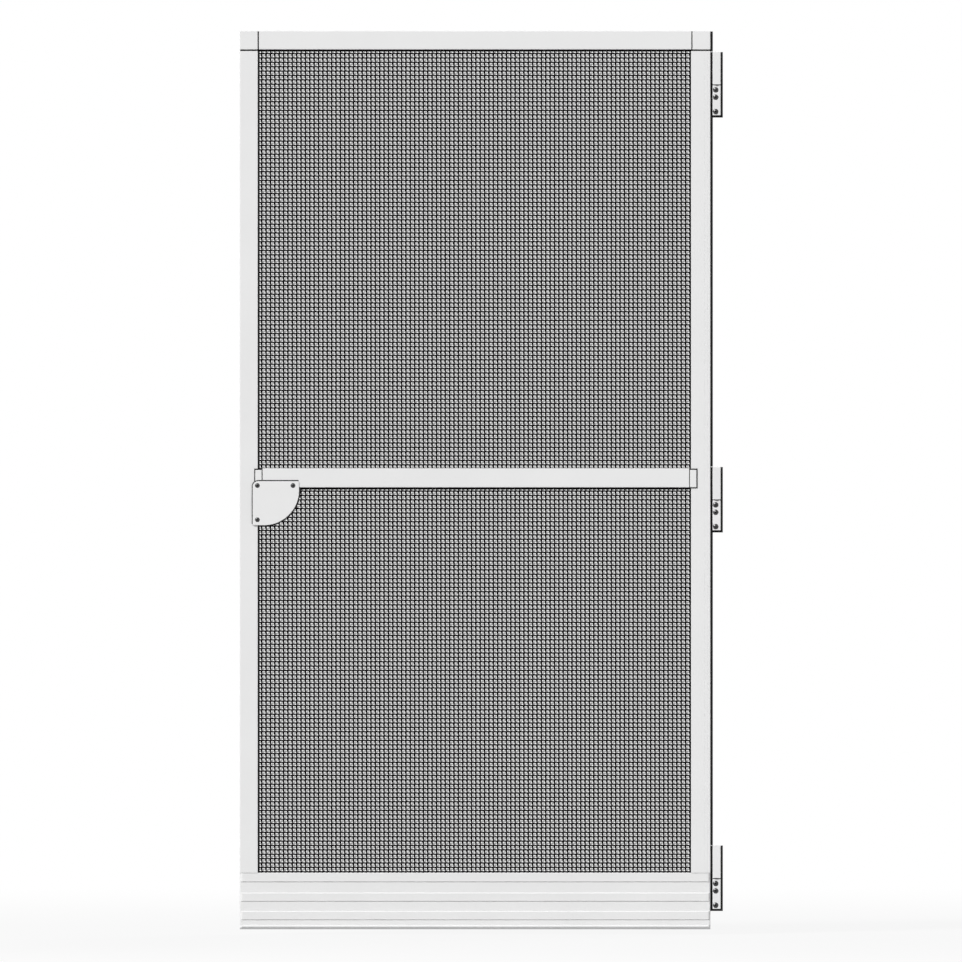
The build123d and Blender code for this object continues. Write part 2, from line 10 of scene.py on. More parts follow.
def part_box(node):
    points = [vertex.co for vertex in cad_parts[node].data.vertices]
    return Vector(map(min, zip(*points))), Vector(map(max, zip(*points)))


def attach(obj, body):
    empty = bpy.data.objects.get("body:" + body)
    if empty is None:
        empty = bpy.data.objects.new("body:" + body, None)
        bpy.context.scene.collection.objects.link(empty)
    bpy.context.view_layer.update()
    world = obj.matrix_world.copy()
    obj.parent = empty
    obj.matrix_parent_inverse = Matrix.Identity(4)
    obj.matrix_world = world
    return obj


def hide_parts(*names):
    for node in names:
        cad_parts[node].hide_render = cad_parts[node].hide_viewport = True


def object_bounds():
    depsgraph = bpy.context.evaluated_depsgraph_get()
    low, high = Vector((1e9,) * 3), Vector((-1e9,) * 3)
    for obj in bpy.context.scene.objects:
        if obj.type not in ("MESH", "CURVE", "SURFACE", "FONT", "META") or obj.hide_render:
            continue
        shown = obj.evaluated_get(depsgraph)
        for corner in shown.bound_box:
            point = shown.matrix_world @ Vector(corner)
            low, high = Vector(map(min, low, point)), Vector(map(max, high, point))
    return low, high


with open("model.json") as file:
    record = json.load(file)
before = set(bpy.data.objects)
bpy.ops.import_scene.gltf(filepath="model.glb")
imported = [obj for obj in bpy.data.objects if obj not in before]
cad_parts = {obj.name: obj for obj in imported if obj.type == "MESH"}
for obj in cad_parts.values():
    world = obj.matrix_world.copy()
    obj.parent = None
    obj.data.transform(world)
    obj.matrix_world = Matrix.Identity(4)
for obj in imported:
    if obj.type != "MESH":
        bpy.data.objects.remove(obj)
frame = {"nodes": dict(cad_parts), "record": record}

cad_low, cad_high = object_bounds()
scene = bpy.context.scene

# Sizes in metres. STEP is one pixel of the photograph on the leaf, and the pixel
# places count from the photograph's left and top edges.
STEP = 0.00233775
PICTURE_WIDTH = 962
PICTURE_MIDDLE = 481.0
ORIGIN_PIXEL_X = 716.6
ORIGIN_PIXEL_Y = 515.6
FIRST_WARP_PIXEL_X = 266.05
FIRST_WEFT_PIXEL_Y = 62.26
WARP_PITCH_PIXELS = 4.3708
WEFT_PITCH_PIXELS = 4.3760
VIEW_CENTRE_X = (PICTURE_MIDDLE - ORIGIN_PIXEL_X) * STEP
VIEW_CENTRE_Z = (ORIGIN_PIXEL_Y - PICTURE_MIDDLE) * STEP
VIEW_WIDTH = PICTURE_WIDTH * STEP


# Materials

EVEN = (1, 1, 1)
WHITE = (1, 1, 1, 1)
RAMP_START = 0.3
RAMP_END = 0.7
CLOUD_SCALE = 7.0
CLOUD_DETAIL = 4.0
FINE_DETAIL = 2.0
RELIEF = 0.0002
SPECULAR = 0.5


def new_material(name):
    material = bpy.data.materials.new(name)
    material.use_nodes = True
    nodes = material.node_tree.nodes
    links = material.node_tree.links
    shader = nodes["Principled BSDF"]
    return material, nodes, links, shader


def object_coordinates(nodes, links, scale):
    """Object coordinates in metres, stretched by scale."""
    source = nodes.new("ShaderNodeTexCoord")
    mapping = nodes.new("ShaderNodeMapping")
    mapping.inputs["Scale"].default_value = scale
    links.new(source.outputs["Object"], mapping.inputs["Vector"])
    return mapping.outputs["Vector"]


def noise(nodes, links, vector, scale, detail):
    texture = nodes.new("ShaderNodeTexNoise")
    texture.inputs["Scale"].default_value = scale
    texture.inputs["Detail"].default_value = detail
    links.new(vector, texture.inputs["Vector"])
    return texture.outputs["Fac"]


def grey_ramp(nodes, links, factor, darkest, lightest):
    mixer = nodes.new("ShaderNodeValToRGB")
    start, end = mixer.color_ramp.elements
    start.position = RAMP_START
    end.position = RAMP_END
    start.color = (darkest, darkest, darkest, 1)
    end.color = (lightest, lightest, lightest, 1)
    links.new(factor, mixer.inputs["Fac"])
    return mixer.outputs["Color"]


def spread(nodes, links, factor, low, high):
    span = nodes.new("ShaderNodeMapRange")
    span.inputs["To Min"].default_value = low
    span.inputs["To Max"].default_value = high
    links.new(factor, span.inputs["Value"])
    return span.outputs["Result"]


def add_bump(nodes, links, shader, height, strength, distance):
    bump = nodes.new("ShaderNodeBump")
    bump.inputs["Strength"].default_value = strength
    bump.inputs["Distance"].default_value = distance
    links.new(height, bump.inputs["Height"])
    links.new(bump.outputs["Normal"], shader.inputs["Normal"])


def coat_material(
    name, darkest, lightest, smoothest, roughest, grain, bump,
    metallic=0.0, specular=SPECULAR, stretch=EVEN,
    cloud_scale=CLOUD_SCALE, cloud_detail=CLOUD_DETAIL, relief=RELIEF,
):
    """A painted, moulded or plated surface: cloudy grey, fine grain in gloss and height."""
    material, nodes, links, shader = new_material(name)
    vector = object_coordinates(nodes, links, stretch)
    cloud = noise(nodes, links, vector, cloud_scale, cloud_detail)
    fine = noise(nodes, links, vector, grain, FINE_DETAIL)
    links.new(grey_ramp(nodes, links, cloud, darkest, lightest), shader.inputs["Base Color"])
    links.new(spread(nodes, links, fine, smoothest, roughest), shader.inputs["Roughness"])
    add_bump(nodes, links, shader, fine, bump, relief)
    shader.inputs["Metallic"].default_value = metallic
    shader.inputs["Specular IOR Level"].default_value = specular
    return material


white_coat = coat_material(
    "white_coat", darkest=0.79, lightest=0.81, smoothest=0.42, roughest=0.52, grain=900.0, bump=0.10
)
white_plastic = coat_material(
    "white_plastic", darkest=0.79, lightest=0.81, smoothest=0.48, roughest=0.58, grain=1500.0, bump=0.08
)
white_casting = coat_material(
    "white_casting", darkest=0.79, lightest=0.82, smoothest=0.38, roughest=0.50, grain=700.0, bump=0.12
)
black_plastic = coat_material(
    "black_plastic", darkest=0.006, lightest=0.010, smoothest=0.60, roughest=0.75, grain=1200.0,
    bump=0.15, specular=0.2
)
# Partly painted shade: besides the screen's splines, black_rubber colours the seal strip along the hinge
# stile and the rims round the rail caps and handle plate, black pieces that stand in for the shade at
# those edges
black_rubber = coat_material(
    "black_rubber", darkest=0.007, lightest=0.012, smoothest=0.65, roughest=0.85, grain=1400.0,
    bump=0.25, specular=0.2
)
# Painted shade: black_steel colours the hinges' back plates, whose black margins stand in for the shade at
# the hinges' right and bottom sides
black_steel = coat_material(
    "black_steel", darkest=0.007, lightest=0.012, smoothest=0.45, roughest=0.60, grain=1000.0,
    bump=0.12, specular=0.2
)
bright_steel = coat_material(
    "bright_steel", darkest=0.50, lightest=0.62, smoothest=0.22, roughest=0.38, grain=800.0,
    bump=0.10, metallic=1.0, stretch=(1, 1, 0.05)
)
screw_black = coat_material(
    "screw_black", darkest=0.030, lightest=0.042, smoothest=0.24, roughest=0.32, grain=1800.0, bump=0.10
)
# Painted shade: the cross recess is coloured near black, far darker than the head, for the shade inside it
screw_recess_shade = coat_material(
    "screw_recess_shade", darkest=0.002, lightest=0.004, smoothest=0.60, roughest=0.75, grain=1500.0,
    bump=0.10, specular=0.1
)
black_thread = coat_material(
    "black_thread", darkest=0.003, lightest=0.006, smoothest=0.65, roughest=0.85, grain=2200.0,
    bump=0.3, specular=0.1, cloud_scale=25.0, cloud_detail=2.0, relief=0.0001
)

slot_materials = {
    "white_coat": white_coat,
    "white_plastic": white_plastic,
    "white_casting": white_casting,
    "black_plastic": black_plastic,
    "black_rubber": black_rubber,
    "black_steel": black_steel,
    "bright_steel": bright_steel,
    "black_mesh": black_thread,
}
node_slots = {entry["node"]: entry["material_slot"] for entry in frame["record"]["subparts"]}
for node_name, node in frame["nodes"].items():
    node.data.materials.clear()
    node.data.materials.append(slot_materials[node_slots[node_name]])


# Mesh helpers

def mesh_object(name, vertices, faces, material):
    mesh = bpy.data.meshes.new(name)
    mesh.from_pydata(vertices, [], faces)
    mesh.update()
    mesh.materials.append(material)
    obj = bpy.data.objects.new(name, mesh)
    scene.collection.objects.link(obj)
    return obj


def outward_normals(obj):
    bm = bmesh.new()
    bm.from_mesh(obj.data)
    bmesh.ops.recalc_face_normals(bm, faces=bm.faces)
    bm.to_mesh(obj.data)
    bm.free()


def thread_mesh(name, paths, half_width, half_thickness, across):
    """Threads with a flat lozenge section.

    paths is (threads, points, 3), half_width one number or one for each point of a
    thread, and across the axis that the width lies on.
    """
    count, points, _ = paths.shape
    across = np.array(across, dtype=float)
    depth = np.array((0.0, 1.0, 0.0))
    widths = np.broadcast_to(half_width, (points,))[None, :, None] * across
    thickness = depth * half_thickness
    ring = [widths, -thickness, -widths, thickness]
    corners = len(ring)
    vertices = np.stack([paths + corner for corner in ring], axis=2).reshape(-1, 3)
    start = (np.arange(count)[:, None] * points + np.arange(points - 1)[None, :]) * corners
    start = start.reshape(-1)
    end = start + corners
    quads = []
    for side in range(corners):
        after = (side + 1) % corners
        quads.append(np.stack([start + side, start + after, end + after, end + side], axis=1))
    first = np.arange(count) * points * corners
    last = first + (points - 1) * corners
    quads.append(np.stack([first + 3, first + 2, first + 1, first], axis=1))
    quads.append(np.stack([last, last + 1, last + 2, last + 3], axis=1))
    faces = np.concatenate(quads)
    mesh = bpy.data.meshes.new(name)
    mesh.vertices.add(len(vertices))
    mesh.vertices.foreach_set("co", vertices.reshape(-1))
    mesh.loops.add(faces.size)
    mesh.loops.foreach_set("vertex_index", faces.reshape(-1).astype(np.int32))
    mesh.polygons.add(len(faces))
    mesh.polygons.foreach_set("loop_start", np.arange(0, faces.size, corners, dtype=np.int32))
    mesh.update(calc_edges=True)
    mesh.validate()
    mesh.polygons.foreach_set("use_smooth", [True] * len(mesh.polygons))
    mesh.materials.append(black_thread)
    obj = bpy.data.objects.new(name, mesh)
    scene.collection.objects.link(obj)
    outward_normals(obj)
    return obj


# Screen: woven heavy threads, a slim zigzag thread at each upright one, thin threads between

sheet_low, sheet_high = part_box("screen_mesh")
sheet_mid_y = (sheet_low.y + sheet_high.y) / 2
PITCH_X = WARP_PITCH_PIXELS * STEP
PITCH_Z = WEFT_PITCH_PIXELS * STEP
FIRST_X = (FIRST_WARP_PIXEL_X - ORIGIN_PIXEL_X) * STEP
FIRST_Z = (ORIGIN_PIXEL_Y - FIRST_WEFT_PIXEL_Y) * STEP
WEFT_HALF_WIDTH = 0.00166
HEAVY_HALF_THICKNESS = 0.00030
WEAVE = 0.00028
THIN_WARP_HALF_WIDTH = 0.00048
THIN_WEFT_HALF_WIDTH = 0.00056
THIN_HALF_THICKNESS = 0.00022
EDGE_MARGIN = 0.0020
ACROSS_X = (1, 0, 0)
ACROSS_Z = (0, 0, 1)
# Bends of an upright thread at each crossing: rise above it, shift to the right, half width
WARP_BENDS = ((-0.00187, -0.00053, 0.00262), (0.00250, 0.00009, 0.00133))
BINDER_BENDS = ((-0.00490, -0.00150, 0.00096), (0.00296, 0.00328, 0.00096))


def lines_between(first, pitch, low, high):
    """All places first + n * pitch between low and high, rising, and the lowest n."""
    start = math.ceil((low - first) / pitch)
    end = math.floor((high - first) / pitch)
    return np.array([first + n * pitch for n in range(start, end + 1)]), start


warp_x, warp_start = lines_between(FIRST_X, PITCH_X, sheet_low.x + EDGE_MARGIN, sheet_high.x - EDGE_MARGIN)
weft_z, weft_start = lines_between(FIRST_Z, PITCH_Z, sheet_low.z + EDGE_MARGIN, sheet_high.z - EDGE_MARGIN)


def crossing_steps(first_crossing, crossings):
    """Steps in depth that change side from one crossing to the next, level at both ends."""
    signs = (-1.0) ** (first_crossing + crossings)
    return np.concatenate([[0.0], signs, [0.0]]) * WEAVE


def weft_paths():
    """One path for each line across. It passes behind and before the upright threads."""
    stops = np.concatenate([[sheet_low.x], warp_x, [sheet_high.x]])
    crossings = np.arange(len(warp_x))
    paths = np.zeros((len(weft_z), len(stops), 3))
    for row, height in enumerate(weft_z):
        paths[row, :, 0] = stops
        paths[row, :, 1] = sheet_mid_y - crossing_steps(weft_start + row + warp_start, crossings)
        paths[row, :, 2] = height
    return paths


def bent_paths(columns, first_column, bends):
    """One upright path for each column, and its half width at each point.

    It has the same bends at each crossing, and steps over and under with the crossings.
    """
    rises, shifts, widths = np.array(bends).T
    stops = (weft_z[:, None] + rises).reshape(-1)
    shifts = np.tile(shifts, len(weft_z))
    widths = np.tile(widths, len(weft_z))
    crossings = np.repeat(np.arange(len(weft_z)), len(bends))
    inside = (stops > sheet_low.z) & (stops < sheet_high.z)
    ends = (sheet_low.z, sheet_high.z)
    end_shifts = np.interp(ends, stops, shifts)
    end_widths = np.interp(ends, stops, widths)
    heights = np.concatenate([[ends[0]], stops[inside], [ends[1]]])
    shifts = np.concatenate([end_shifts[:1], shifts[inside], end_shifts[1:]])
    widths = np.concatenate([end_widths[:1], widths[inside], end_widths[1:]])
    paths = np.zeros((len(columns), len(heights), 3))
    for row, place in enumerate(columns):
        paths[row, :, 0] = place + shifts
        paths[row, :, 1] = sheet_mid_y + crossing_steps(first_column + row + weft_start, crossings[inside])
        paths[row, :, 2] = heights
    return paths, widths


def straight_paths(places, low, high, along_axis):
    paths = np.zeros((len(places), 2, 3))
    paths[:, 0, along_axis] = low
    paths[:, 1, along_axis] = high
    paths[:, :, 2 - along_axis] = places[:, None]
    paths[:, :, 1] = sheet_mid_y
    return paths


half = len(warp_x) // 2
halves = (("left", warp_x[:half], warp_start), ("right", warp_x[half:], warp_start + half))
kinds = (
    ("screen_warp_", WARP_BENDS, HEAVY_HALF_THICKNESS),
    ("screen_binder_", BINDER_BENDS, THIN_HALF_THICKNESS),
)
uprights = []
for kind, bends, half_thickness in kinds:
    for side, columns, first_column in halves:
        paths, widths = bent_paths(columns, first_column, bends)
        uprights.append(thread_mesh(kind + side, paths, widths, half_thickness, ACROSS_X))

weft = thread_mesh("screen_weft", weft_paths(), WEFT_HALF_WIDTH, HEAVY_HALF_THICKNESS, ACROSS_Z)
thin_x = (warp_x[:-1] + warp_x[1:]) / 2
thin_z = (weft_z[:-1] + weft_z[1:]) / 2
thin_warp = thread_mesh(
    "screen_thin_warp",
    straight_paths(thin_x, sheet_low.z, sheet_high.z, 2),
    THIN_WARP_HALF_WIDTH,
    THIN_HALF_THICKNESS,
    ACROSS_X,
)
thin_weft = thread_mesh(
    "screen_thin_weft",
    straight_paths(thin_z, sheet_low.x, sheet_high.x, 0),
    THIN_WEFT_HALF_WIDTH,
    THIN_HALF_THICKNESS,
    ACROSS_Z,
)
for piece in (*uprights, weft, thin_warp, thin_weft):
    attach(piece, "leaf")
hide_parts("screen_mesh")


# Painted shade: black bands along the screen's edges stand in for the frame's shadow on the screen, and
# show as a dark line inside the frame

SHADE_BAND_PAST_LEFT = 0.0042
SHADE_BAND_PAST_RIGHT = 0.0030
SHADE_BAND_PAST_TOP = 0.0040
SHADE_BAND_BEHIND_RAIL = 0.0040
SHADE_BAND_ABOVE_RAIL = 0.0010
SHADE_BAND_BELOW_RAIL = 0.0050
SHADE_BAND_INSET = 0.0001
BOX_FACES = ((0, 1, 2, 3), (7, 6, 5, 4), (0, 4, 5, 1), (1, 5, 6, 2), (2, 6, 7, 3), (3, 7, 4, 0))


def screen_edge_shade_bands():
    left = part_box("left_stile")[1].x + SHADE_BAND_PAST_LEFT
    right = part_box("right_stile")[0].x - SHADE_BAND_PAST_RIGHT
    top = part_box("top_rail")[0].z - SHADE_BAND_PAST_TOP
    bottom = sheet_low.z
    rail_low, rail_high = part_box("mid_rail")
    bands = [
        (sheet_low.x, left, bottom, sheet_high.z),
        (right, sheet_high.x, bottom, sheet_high.z),
        (left, right, top, sheet_high.z),
        (left, right, rail_high.z - SHADE_BAND_BEHIND_RAIL, rail_high.z + SHADE_BAND_ABOVE_RAIL),
        (left, right, rail_low.z - SHADE_BAND_BELOW_RAIL, rail_low.z + SHADE_BAND_BEHIND_RAIL),
    ]
    vertices = []
    faces = []
    for x0, x1, z0, z1 in bands:
        base = len(vertices)
        for y in (sheet_low.y + SHADE_BAND_INSET, sheet_high.y - SHADE_BAND_INSET):
            vertices += [(x0, y, z0), (x1, y, z0), (x1, y, z1), (x0, y, z1)]
        faces += [tuple(base + corner for corner in face) for face in BOX_FACES]
    # Black sheets in the screen's plane: painted shade beside the stiles, under the top rail, and above
    # and below the mid rail
    shade_band_mesh = mesh_object("screen_edge_painted_shade", vertices, faces, black_thread)
    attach(shade_band_mesh, "leaf")


screen_edge_shade_bands()


# Screws

SCREW_SEGMENTS = 48
# Shares of a head's radius, of its height or its shoulder's height, and of the cross above
SLOPE_RADIUS_SHARE = 0.25
SLOPE_HEIGHT_SHARE = 0.85
CROWN_SHARE = 0.28
SHOULDER_SHARE = 0.80
ROUND_SHARE = 0.92
ROUND_HEIGHT_SHARE = 0.75
RIM_HEIGHT_SHARE = 0.35
CROSS_ARM_SHARE = 0.52
CROSS_HALF_SHARE = 0.15
CROSS_DEPTH_SHARE = 0.65
CROSS_FLOOR_SHARE_X = 0.5
CROSS_FLOOR_SHARE_Y = 0.7
CUTTER_ABOVE = 0.001
TO_FRONT = (0, -1, 0)
TO_BACK = (0, 1, 0)


def screw_mesh(name, head_radius, head_height, shank_radius, length):
    """A screw along local Z. Its raised head sits on Z = 0 and has a cross recess."""
    slope_drop = min(SLOPE_RADIUS_SHARE * head_radius, SLOPE_HEIGHT_SHARE * head_height)
    shoulder = head_height - slope_drop
    profile = [
        (0.0, head_height),
        (CROWN_SHARE * head_radius, head_height),
        (SHOULDER_SHARE * head_radius, shoulder),
        (ROUND_SHARE * head_radius, ROUND_HEIGHT_SHARE * shoulder),
        (head_radius, RIM_HEIGHT_SHARE * shoulder),
        (head_radius, 0.0),
        (shank_radius, 0.0),
        (shank_radius, -length),
        (0.0, -length),
    ]
    bm = bmesh.new()
    rings = []
    for radius, z in profile:
        if radius == 0.0:
            rings.append([bm.verts.new((0, 0, z))])
            continue
        ring = []
        for n in range(SCREW_SEGMENTS):
            angle = 2 * math.pi * n / SCREW_SEGMENTS
            ring.append(bm.verts.new((radius * math.cos(angle), radius * math.sin(angle), z)))
        rings.append(ring)
    for upper, lower in zip(rings[:-1], rings[1:]):
        for n in range(SCREW_SEGMENTS):
            after = (n + 1) % SCREW_SEGMENTS
            if len(upper) == 1:
                bm.faces.new((upper[0], lower[n], lower[after]))
            elif len(lower) == 1:
                bm.faces.new((upper[n], lower[0], upper[after]))
            else:
                bm.faces.new((upper[n], lower[n], lower[after], upper[after]))
    bmesh.ops.recalc_face_normals(bm, faces=bm.faces)
    mesh = bpy.data.meshes.new(name)
    bm.to_mesh(mesh)
    bm.free()
    mesh.materials.append(screw_black)
    mesh.materials.append(screw_recess_shade)
    body = bpy.data.objects.new(name + "_body", mesh)
    scene.collection.objects.link(body)
    # A tapered cross cuts the recess, whose cut faces take the near-black recess colour as painted shade
    arm = head_radius * CROSS_ARM_SHARE
    half = head_radius * CROSS_HALF_SHARE
    deep = head_height * CROSS_DEPTH_SHARE
    outline = [
        (arm, half), (half, half), (half, arm), (-half, arm), (-half, half), (-arm, half),
        (-arm, -half), (-half, -half), (-half, -arm), (half, -arm), (half, -half), (arm, -half),
    ]
    corners = len(outline)
    cutter_vertices = [(x, y, head_height + CUTTER_ABOVE) for x, y in outline]
    for x, y in outline:
        cutter_vertices.append((x * CROSS_FLOOR_SHARE_X, y * CROSS_FLOOR_SHARE_Y, head_height - deep))
    cutter_faces = [tuple(range(corners)), tuple(reversed(range(corners, 2 * corners)))]
    for n in range(corners):
        after = (n + 1) % corners
        cutter_faces.append((n, n + corners, after + corners, after))
    cutter = mesh_object(name + "_cutter", cutter_vertices, cutter_faces, screw_recess_shade)
    outward_normals(cutter)
    cut = body.modifiers.new("cut", "BOOLEAN")
    cut.operation = "DIFFERENCE"
    cut.solver = "EXACT"
    cut.material_mode = "TRANSFER"
    cut.object = cutter
    graph = bpy.context.evaluated_depsgraph_get()
    finished = bpy.data.meshes.new_from_object(body.evaluated_get(graph))
    finished.name = name
    bpy.data.objects.remove(body)
    bpy.data.objects.remove(cutter)
    return finished


def place_screw(name, mesh, place, direction, turn, body):
    """Put a screw with its head's seat at place. direction is where its head looks."""
    obj = bpy.data.objects.new(name, mesh)
    scene.collection.objects.link(obj)
    towards = Vector(direction).to_track_quat("Z", "Y").to_matrix().to_4x4()
    obj.matrix_world = Matrix.Translation(Vector(place)) @ towards @ Matrix.Rotation(turn, 4, "Z")
    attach(obj, body)


HINGE_SCREW_SHIFT = -0.0022
HINGE_SCREW_DROPS = (0.0109, 0.0281, 0.0618)
HINGE_SCREW_TURNS = {
    "top": (0.6, 0.9, 0.5),
    "middle": (0.75, 0.35, 1.0),
    "bottom": (0.65, 0.85, 0.45),
}
hinge_screw = screw_mesh(
    "hinge_screw", head_radius=0.0064, head_height=0.0030, shank_radius=0.00225, length=0.0155
)
for place, turns in HINGE_SCREW_TURNS.items():
    low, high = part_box("hinge_block_" + place)
    for n, (drop, turn) in enumerate(zip(HINGE_SCREW_DROPS, turns)):
        name = "screw_" + place + "_" + str(n + 1)
        spot = (HINGE_SCREW_SHIFT, low.y, high.z - drop)
        place_screw(name, hinge_screw, spot, TO_FRONT, turn, "casing_side")

HANDLE_SCREW_FROM_LEFT = 0.0112
HANDLE_SCREW_FROM_TOP = 0.0102
HANDLE_SCREW_SPAN = 0.0832
HANDLE_SCREW_FALL = 0.0800
HANDLE_SCREW_SEAT = 0.0014
FRONT_FIRST_TURN = 0.5
FRONT_TURN_STEP = 0.2
BACK_FIRST_TURN = 0.3
BACK_TURN_STEP = 0.3
front_low, front_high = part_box("handle_front")
back_face_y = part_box("handle_back")[1].y
front_screw = screw_mesh(
    "front_screw", head_radius=0.0056, head_height=0.0014, shank_radius=0.0020, length=0.0060
)
back_screw = screw_mesh(
    "back_screw", head_radius=0.0045, head_height=0.0012, shank_radius=0.0020, length=0.0015
)
screw_left = front_low.x + HANDLE_SCREW_FROM_LEFT
screw_top = front_high.z - HANDLE_SCREW_FROM_TOP
handle_places = (
    (screw_left, screw_top),
    (screw_left + HANDLE_SCREW_SPAN, screw_top),
    (screw_left, screw_top - HANDLE_SCREW_FALL),
)
for n, (x, z) in enumerate(handle_places):
    name = "handle_screw_front_" + str(n + 1)
    spot = (x, front_low.y + HANDLE_SCREW_SEAT, z)
    place_screw(name, front_screw, spot, TO_FRONT, FRONT_FIRST_TURN + FRONT_TURN_STEP * n, "leaf")
    name = "handle_screw_back_" + str(n + 1)
    spot = (x, back_face_y, z)
    place_screw(name, back_screw, spot, TO_BACK, BACK_FIRST_TURN + BACK_TURN_STEP * n, "leaf")


# Painted shade: black rims on the rail caps and round the handle plate stand in for the shade lines at
# their edges

BEAD_CROWN_SHARE = 0.25
BEAD_LEAST_COSINE = 0.5


def painted_shade_bead(name, path, first_width, last_width, y_front, y_back):
    """A black bead of painted shade along the left of an open path of (x, z) points, seen from the front.
    """
    points = [Vector(point) for point in path]
    offsets = []
    for n in range(len(points)):
        before = points[n] - points[max(n - 1, 0)]
        after = points[min(n + 1, len(points) - 1)] - points[n]
        direction = (before.normalized() + after.normalized()).normalized()
        leg = after if after.length > 0 else before
        turn = max(BEAD_LEAST_COSINE, direction.dot(leg.normalized()))
        offsets.append(Vector((-direction.y, direction.x)) / turn)
    vertices = []
    for n, (point, offset) in enumerate(zip(points, offsets)):
        width = first_width + (last_width - first_width) * n / (len(points) - 1)
        crown = BEAD_CROWN_SHARE * width
        section = [
            (0.0, y_back), (width, y_back), (width, y_front + crown), (width - crown, y_front),
            (crown, y_front), (0.0, y_front + crown),
        ]
        for out, y in section:
            place = point + offset * out
            vertices.append((place.x, y, place.y))
    sides = len(section)
    faces = []
    for n in range(len(points) - 1):
        here = n * sides
        beyond = here + sides
        for side in range(sides):
            after = (side + 1) % sides
            faces.append((here + side, here + after, beyond + after, beyond + side))
    faces.append(tuple(range(sides)))
    faces.append(tuple(reversed(range((len(points) - 1) * sides, len(points) * sides))))
    bead = mesh_object(name, vertices, faces, black_rubber)
    outward_normals(bead)
    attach(bead, "leaf")


def painted_shade_frame(name, inner, outer, y_front, y_back):
    """A flat black rim of painted shade between two upright rectangles, each (x low, z low, x high, z
    high).
    """
    vertices = []
    for y in (y_front, y_back):
        for x0, z0, x1, z1 in (inner, outer):
            vertices += [(x0, y, z0), (x1, y, z0), (x1, y, z1), (x0, y, z1)]
    corners = 4
    back = 2 * corners
    faces = []
    for n in range(corners):
        after = (n + 1) % corners
        out = corners + n
        out_after = corners + after
        faces.append((n, after, out_after, out))
        faces.append((back + after, back + n, back + out, back + out_after))
        faces.append((n, back + n, back + after, after))
        faces.append((out, out_after, back + out_after, back + out))
    rim = mesh_object(name, vertices, faces, black_rubber)
    outward_normals(rim)
    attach(rim, "leaf")


# Widths of the painted shade rims round the rail caps; the rim is widest above the cap
CAP_SEAM = 0.0018
CAP_RIM_LEFT = 0.0022
CAP_RIM_RIGHT = 0.0018
CAP_RIM_BELOW = 0.0016
CAP_RIM_ABOVE = 0.0028
CAP_RIM_SETBACK = 0.0005
stile_low, stile_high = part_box("left_stile")
rail_low, rail_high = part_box("mid_rail")
for place in ("left", "right"):
    cap_low, cap_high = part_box("rail_cap_" + place)
    bottom = cap_low.z - CAP_RIM_BELOW
    top = cap_high.z + CAP_RIM_ABOVE
    if place == "left":
        inner = (cap_low.x, cap_low.z, rail_low.x - CAP_SEAM, cap_high.z)
        outer = (cap_low.x - CAP_RIM_LEFT, bottom, rail_low.x, top)
    else:
        inner = (rail_high.x + CAP_SEAM, cap_low.z, cap_high.x, cap_high.z)
        outer = (rail_high.x, bottom, cap_high.x + CAP_RIM_RIGHT, top)
    painted_shade_frame("rail_cap_shade_rim_" + place, inner, outer, rail_low.y + CAP_RIM_SETBACK, stile_low.y)


def arc_points(centre, radius, start, end, steps):
    """Points on a circle from one angle to another, in degrees."""
    points = []
    for n in range(steps + 1):
        angle = math.radians(start + (end - start) * n / steps)
        points.append((centre[0] + radius * math.cos(angle), centre[1] + radius * math.sin(angle)))
    return points


PLATE_CORNER = 0.0130
PLATE_CORNER_STEPS = 12
PLATE_SMALL_CORNER = 0.0030
PLATE_SWEEP = 0.0815
PLATE_SWEEP_STEPS = 40
UPPER_RIM_SHORT = 0.0015
# The upper rim widens towards the top, where the painted shade line is darker
UPPER_RIM_FIRST_WIDTH = 0.0020
UPPER_RIM_LAST_WIDTH = 0.0026
LOWER_RIM_WIDTH = 0.0030
PLATE_RIM_SETBACK = 0.0004
rim_front = front_low.y + PLATE_RIM_SETBACK
rim_back = rail_low.y
upper_path = [(front_low.x, front_low.z + PLATE_SMALL_CORNER)]
corner_centre = (front_low.x + PLATE_CORNER, front_high.z - PLATE_CORNER)
upper_path += arc_points(corner_centre, PLATE_CORNER, start=180, end=90, steps=PLATE_CORNER_STEPS)
upper_path.append((front_high.x - UPPER_RIM_SHORT, front_high.z))
painted_shade_bead("handle_shade_rim_upper", upper_path, UPPER_RIM_FIRST_WIDTH, UPPER_RIM_LAST_WIDTH, rim_front, rim_back)

lower_path = [(front_high.x, rail_low.z)]
sweep_centre = (front_high.x - PLATE_SWEEP, front_low.z + PLATE_SWEEP)
lower_path += arc_points(sweep_centre, PLATE_SWEEP, start=0, end=-90, steps=PLATE_SWEEP_STEPS)
lower_path.append((stile_high.x, front_low.z))
painted_shade_bead("handle_shade_rim_lower", lower_path, LOWER_RIM_WIDTH, LOWER_RIM_WIDTH, rim_front, rim_back)


# Floor, light and camera

FLOOR_DROP = 0.012
FLOOR_HALF_SIZE = 60.0
FLOOR_CLOUD_SCALE = 0.8
FLOOR_CLOUD_DETAIL = 3.0
FLOOR_DARKEST = 0.44
FLOOR_LIGHTEST = 0.46
FLOOR_ROUGHNESS = 0.9
FLOOR_SPECULAR = 0.1
FADE_FROM = 1.0
FADE_TO = 8.0
WHITE_NEAR = 0.88
WHITE_FAR = 1.0
SKY_STRENGTH = 0.30
LEAF_FRONT_Y = -0.021


def seen_directly(nodes, links):
    """1 for camera, glossy and transmission rays, 0 for light that the object receives."""
    path = nodes.new("ShaderNodeLightPath")
    first = nodes.new("ShaderNodeMath")
    first.operation = "MAXIMUM"
    second = nodes.new("ShaderNodeMath")
    second.operation = "MAXIMUM"
    links.new(path.outputs["Is Camera Ray"], first.inputs[0])
    links.new(path.outputs["Is Glossy Ray"], first.inputs[1])
    links.new(first.outputs[0], second.inputs[0])
    links.new(path.outputs["Is Transmission Ray"], second.inputs[1])
    return second.outputs[0]


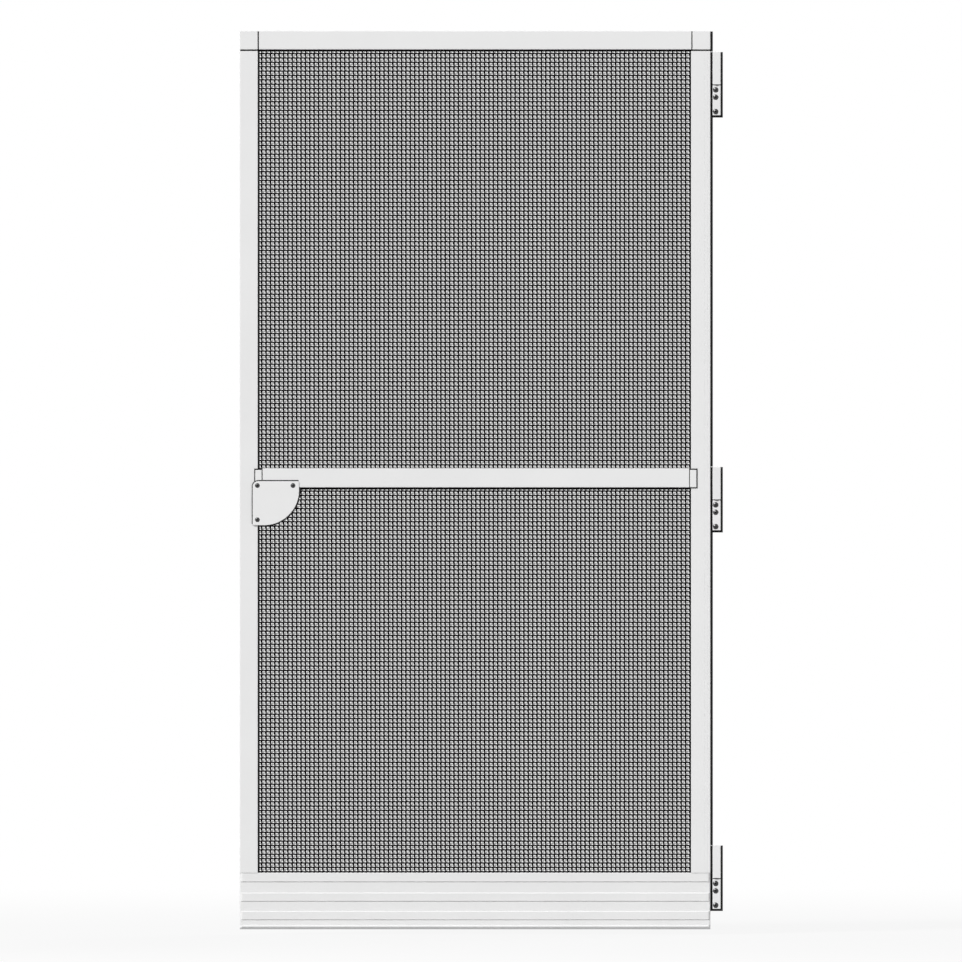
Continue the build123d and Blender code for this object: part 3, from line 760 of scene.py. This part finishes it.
def build_floor():
    """A wide pale floor. The camera sees it nearly white, and fully white further off."""
    low = cad_low.z - FLOOR_DROP
    size = FLOOR_HALF_SIZE
    vertices = [(-size, -size, low), (size, -size, low), (size, size, low), (-size, size, low)]
    floor_material, nodes, links, shader = new_material("floor")
    vector = object_coordinates(nodes, links, EVEN)
    cloud = noise(nodes, links, vector, FLOOR_CLOUD_SCALE, FLOOR_CLOUD_DETAIL)
    links.new(grey_ramp(nodes, links, cloud, FLOOR_DARKEST, FLOOR_LIGHTEST), shader.inputs["Base Color"])
    shader.inputs["Roughness"].default_value = FLOOR_ROUGHNESS
    shader.inputs["Specular IOR Level"].default_value = FLOOR_SPECULAR
    span = nodes.new("ShaderNodeVectorMath")
    span.operation = "LENGTH"
    links.new(vector, span.inputs[0])
    fade = nodes.new("ShaderNodeMapRange")
    fade.interpolation_type = "SMOOTHSTEP"
    fade.inputs["From Min"].default_value = FADE_FROM
    fade.inputs["From Max"].default_value = FADE_TO
    fade.inputs["To Min"].default_value = WHITE_NEAR
    fade.inputs["To Max"].default_value = WHITE_FAR
    links.new(span.outputs["Value"], fade.inputs["Value"])
    seen = seen_directly(nodes, links)
    amount = nodes.new("ShaderNodeMath")
    amount.operation = "MULTIPLY"
    links.new(seen, amount.inputs[0])
    links.new(fade.outputs["Result"], amount.inputs[1])
    glow = nodes.new("ShaderNodeEmission")
    glow.inputs["Color"].default_value = WHITE
    glow.inputs["Strength"].default_value = 1.0
    choose = nodes.new("ShaderNodeMixShader")
    links.new(amount.outputs[0], choose.inputs["Fac"])
    links.new(shader.outputs[0], choose.inputs[1])
    links.new(glow.outputs[0], choose.inputs[2])
    links.new(choose.outputs[0], nodes["Material Output"].inputs["Surface"])
    floor = mesh_object("floor", vertices, [(0, 1, 2, 3)], floor_material)


def build_world():
    """An even white sky. It lights the object softly, and is fully white where it is seen."""
    world = bpy.data.worlds.new("studio")
    scene.world = world
    world.use_nodes = True
    nodes = world.node_tree.nodes
    links = world.node_tree.links
    background = nodes["Background"]
    background.inputs["Color"].default_value = WHITE
    background.inputs["Strength"].default_value = SKY_STRENGTH
    white = nodes.new("ShaderNodeBackground")
    white.inputs["Color"].default_value = WHITE
    white.inputs["Strength"].default_value = 1.0
    choose = nodes.new("ShaderNodeMixShader")
    links.new(seen_directly(nodes, links), choose.inputs["Fac"])
    links.new(background.outputs[0], choose.inputs[1])
    links.new(white.outputs[0], choose.inputs[2])
    links.new(choose.outputs[0], nodes["World Output"].inputs["Surface"])


def add_sun(name, towards, strength, angle):
    """A soft sun. towards points from the object to the sun, and angle is in degrees."""
    data = bpy.data.lights.new(name, "SUN")
    data.energy = strength
    data.angle = math.radians(angle)
    lamp = bpy.data.objects.new(name, data)
    lamp.rotation_mode = "QUATERNION"
    lamp.rotation_quaternion = Vector(towards).to_track_quat("Z", "Y")
    scene.collection.objects.link(lamp)


build_floor()
build_world()
add_sun("key", towards=(-0.75, -1.0, 1.0), strength=3.0, angle=12.0)
add_sun("back_fill", towards=(0.6, 1.0, 0.35), strength=1.6, angle=25.0)

camera_data = bpy.data.cameras.new("camera")
camera_data.type = "PERSP"
camera_data.lens = 1000.0
camera_data.sensor_width = 36.0
camera_data.clip_start = 1.0
camera_data.clip_end = 300.0
camera = bpy.data.objects.new("camera", camera_data)
distance = VIEW_WIDTH * camera_data.lens / camera_data.sensor_width
camera.location = (VIEW_CENTRE_X, LEAF_FRONT_Y - distance, VIEW_CENTRE_Z)
camera.rotation_euler = (math.pi / 2, 0, 0)
scene.collection.objects.link(camera)
scene.camera = camera
scene.view_settings.view_transform = "Standard"
